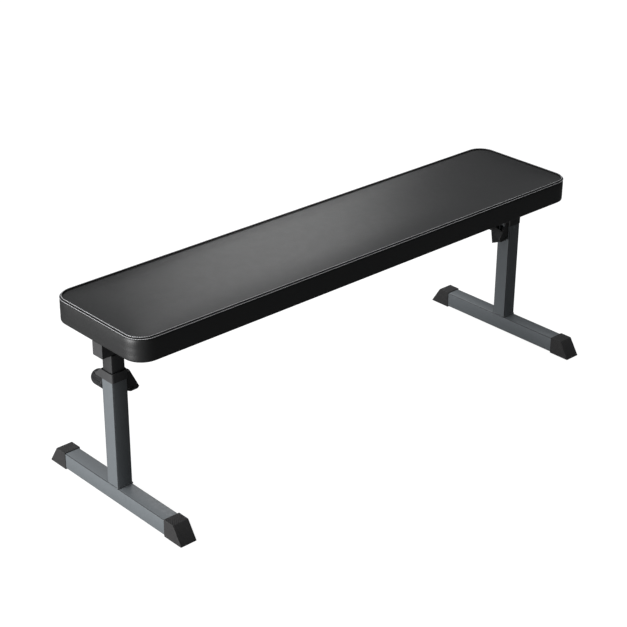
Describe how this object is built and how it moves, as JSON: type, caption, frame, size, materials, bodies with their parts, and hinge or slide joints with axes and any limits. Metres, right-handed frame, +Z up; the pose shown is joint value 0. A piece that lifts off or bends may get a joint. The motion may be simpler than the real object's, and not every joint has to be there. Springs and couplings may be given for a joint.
{
  "type": "adjustable weight bench",
  "caption": "Flat exercise bench with a long padded top on two T legs, height set by spring-lever lock pins and clamp knobs.",
  "frame": {"origin": "on the floor, under the middle of the pad", "axes": "+X along the pad's length, +Y towards the clamp knobs' side, +Z up"},
  "size_m": [1.149, 0.407, 0.392],
  "materials": {
    "vinyl_cushion": "satin",
    "plywood": "matte",
    "liner_fabric": "matte",
    "silver_powder_coat": "satin",
    "black_powder_coat": "satin",
    "grey_plastic": "matte",
    "black_plastic": "satin",
    "foot_rubber": "matte",
    "zinc_steel": "satin",
    "nylon": "matte"
  },
  "bodies": {
    "legs": {"left_foot_tube": "silver_powder_coat", "left_front_foot_cap": "foot_rubber", "left_back_foot_cap": "foot_rubber", "left_upright": "silver_powder_coat", "left_pin_bush": "zinc_steel", "left_weld_nut": "silver_powder_coat", "left_collar": "grey_plastic", "left_pivot_pin": "zinc_steel", "left_lever_spring": "zinc_steel", "right_foot_tube": "silver_powder_coat", "right_front_foot_cap": "foot_rubber", "right_back_foot_cap": "foot_rubber", "right_upright": "silver_powder_coat", "right_pin_bush": "zinc_steel", "right_weld_nut": "silver_powder_coat", "right_collar": "grey_plastic", "right_pivot_pin": "zinc_steel", "right_lever_spring": "zinc_steel"},
    "pad_frame": {"cushion": "vinyl_cushion", "board": "plywood", "dust_liner": "liner_fabric", "frame_tube": "black_powder_coat", "tee_nut_1": "zinc_steel", "tee_nut_2": "zinc_steel", "tee_nut_3": "zinc_steel", "tee_nut_4": "zinc_steel", "pad_bolt_1": "zinc_steel", "pad_bolt_2": "zinc_steel", "pad_bolt_3": "zinc_steel", "pad_bolt_4": "zinc_steel", "left_tube_plug": "grey_plastic", "left_pad_plate": "black_powder_coat", "left_inner_post": "black_powder_coat", "left_glide_plug": "grey_plastic", "right_tube_plug": "grey_plastic", "right_pad_plate": "black_powder_coat", "right_inner_post": "black_powder_coat", "right_glide_plug": "grey_plastic"},
    "left_lever": {"left_lock_lever": "black_plastic"},
    "left_pin": {"left_lock_pin": "zinc_steel"},
    "left_tip": {"left_clamp_tip": "nylon"},
    "left_knob": {"left_clamp_knob": "black_plastic", "left_clamp_bolt": "zinc_steel"},
    "right_lever": {"right_lock_lever": "black_plastic"},
    "right_pin": {"right_lock_pin": "zinc_steel"},
    "right_tip": {"right_clamp_tip": "nylon"},
    "right_knob": {"right_clamp_knob": "black_plastic", "right_clamp_bolt": "zinc_steel"}
  },
  "joints": [
    {"name": "height", "type": "slide", "parent": "legs", "child": "pad_frame", "axis": [0, 0, 1], "range_m": [0, 0.1143]},
    {"name": "left_lever_hinge", "type": "hinge", "parent": "legs", "child": "left_lever", "pos_m": [-0.5134, 0, 0.269], "axis": [0, -1, 0], "range_deg": [0, 11], "stiffness_Nm_per_rad": 0.05, "springref_deg": -17.19, "deforming": ["left_lever_spring"]},
    {"name": "left_pin_slide", "type": "slide", "parent": "legs", "child": "left_pin", "axis": [1, 0, 0], "range_m": [0, 0.0056]},
    {"name": "left_tip_slide", "type": "slide", "parent": "legs", "child": "left_tip", "axis": [0, 1, 0], "range_m": [0, 0.0019]},
    {"name": "left_knob_turn", "type": "hinge", "parent": "left_tip", "child": "left_knob", "pos_m": [-0.535, 0.0166, 0.24], "axis": [0, 1, 0], "range_deg": [0, 540]},
    {"name": "right_lever_hinge", "type": "hinge", "parent": "legs", "child": "right_lever", "pos_m": [0.5134, 0, 0.269], "axis": [0, 1, 0], "range_deg": [0, 11], "stiffness_Nm_per_rad": 0.05, "springref_deg": -17.19, "deforming": ["right_lever_spring"]},
    {"name": "right_pin_slide", "type": "slide", "parent": "legs", "child": "right_pin", "axis": [-1, 0, 0], "range_m": [0, 0.0056]},
    {"name": "right_tip_slide", "type": "slide", "parent": "legs", "child": "right_tip", "axis": [0, 1, 0], "range_m": [0, 0.0019]},
    {"name": "right_knob_turn", "type": "hinge", "parent": "right_tip", "child": "right_knob", "pos_m": [0.535, 0.0166, 0.24], "axis": [0, 1, 0], "range_deg": [0, 540]}
  ],
  "couplings": [
    {"joint": "left_pin_slide", "follows": "left_lever_hinge", "m_per_rad": 0.0286},
    {"joint": "left_tip_slide", "follows": "left_knob_turn", "m_per_rad": 0.00019894},
    {"joint": "right_pin_slide", "follows": "right_lever_hinge", "m_per_rad": 0.0286},
    {"joint": "right_tip_slide", "follows": "right_knob_turn", "m_per_rad": 0.00019894}
  ]
}
